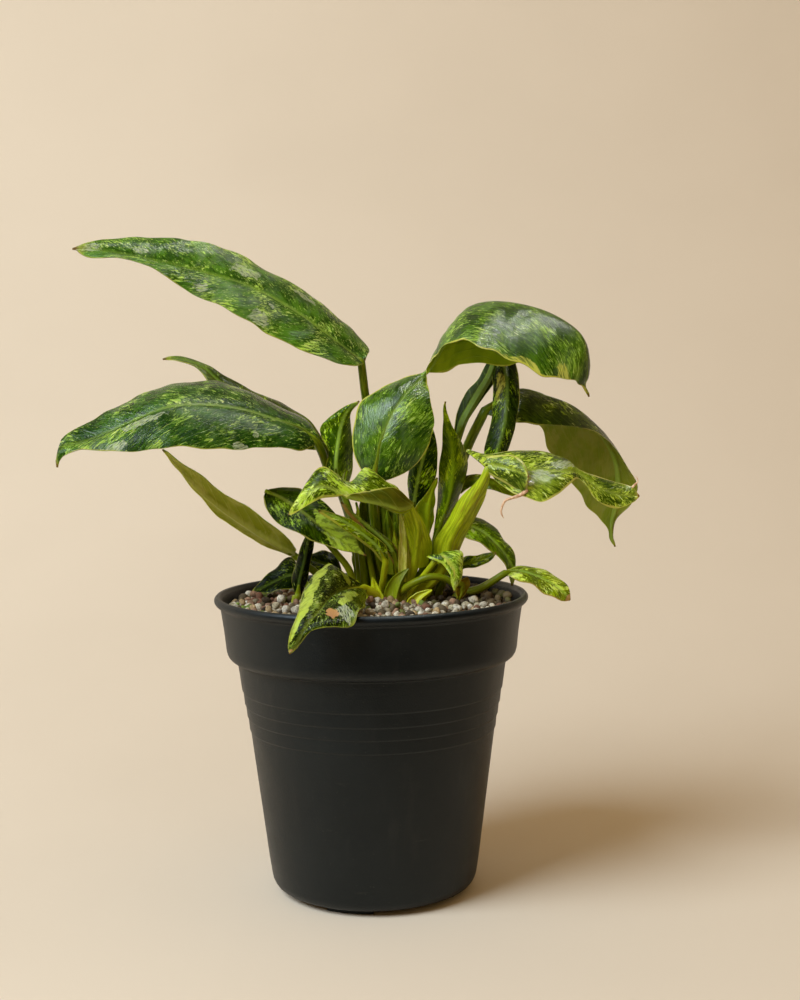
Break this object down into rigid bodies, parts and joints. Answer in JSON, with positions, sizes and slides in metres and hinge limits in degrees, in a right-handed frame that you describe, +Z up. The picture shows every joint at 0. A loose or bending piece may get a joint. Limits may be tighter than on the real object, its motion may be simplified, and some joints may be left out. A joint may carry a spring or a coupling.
{
  "type": "potted variegated philodendron",
  "caption": "Variegated philodendron with long arching lance-shaped leaves on slim stalks, growing through mineral grit in a black ring-stepped plastic nursery pot.",
  "frame": {"origin": "centre of the underside of the pot's foot, on the surface it stands on", "axes": "+Z up along the pot's axis; -Y towards the viewer of the picture, so the leaves spread along X"},
  "size_m": [0.2416, 0.1392, 0.2714],
  "materials": {
    "nursery_plastic": "satin",
    "potting_mix": "matte",
    "grit": "matte",
    "crown": "satin",
    "leaf_dark": "satin",
    "leaf_lime": "satin",
    "leaf_olive": "satin"
  },
  "bodies": {
    "root": {"pot": "nursery_plastic", "potting_mix": "potting_mix", "grit": "grit", "crown": "crown", "leaf_upper_left": "leaf_dark", "leaf_left": "leaf_dark", "leaf_left_behind": "leaf_dark", "leaf_lower_left": "leaf_dark", "leaf_twisted_right": "leaf_dark", "leaf_upright_left": "leaf_dark", "leaf_upright_right": "leaf_dark", "leaf_spear": "leaf_olive", "leaf_olive_inner": "leaf_olive", "leaf_arched_right": "leaf_dark", "leaf_right": "leaf_dark", "leaf_yellow_right": "leaf_lime", "leaf_small_tip": "leaf_olive", "leaf_strap_right": "leaf_dark", "leaf_low_right": "leaf_dark", "leaf_thin_right": "leaf_olive", "leaf_small_bright": "leaf_lime", "leaf_brown_low": "leaf_olive", "leaf_front": "leaf_lime", "leaf_mid_left": "leaf_lime", "leaf_gutter_left": "leaf_lime", "leaf_diagonal": "leaf_dark", "leaf_brown_edge": "leaf_dark", "leaf_low_left": "leaf_dark", "leaf_dark_strap": "leaf_dark", "leaf_dim_left": "leaf_olive"}
  },
  "joints": []
}
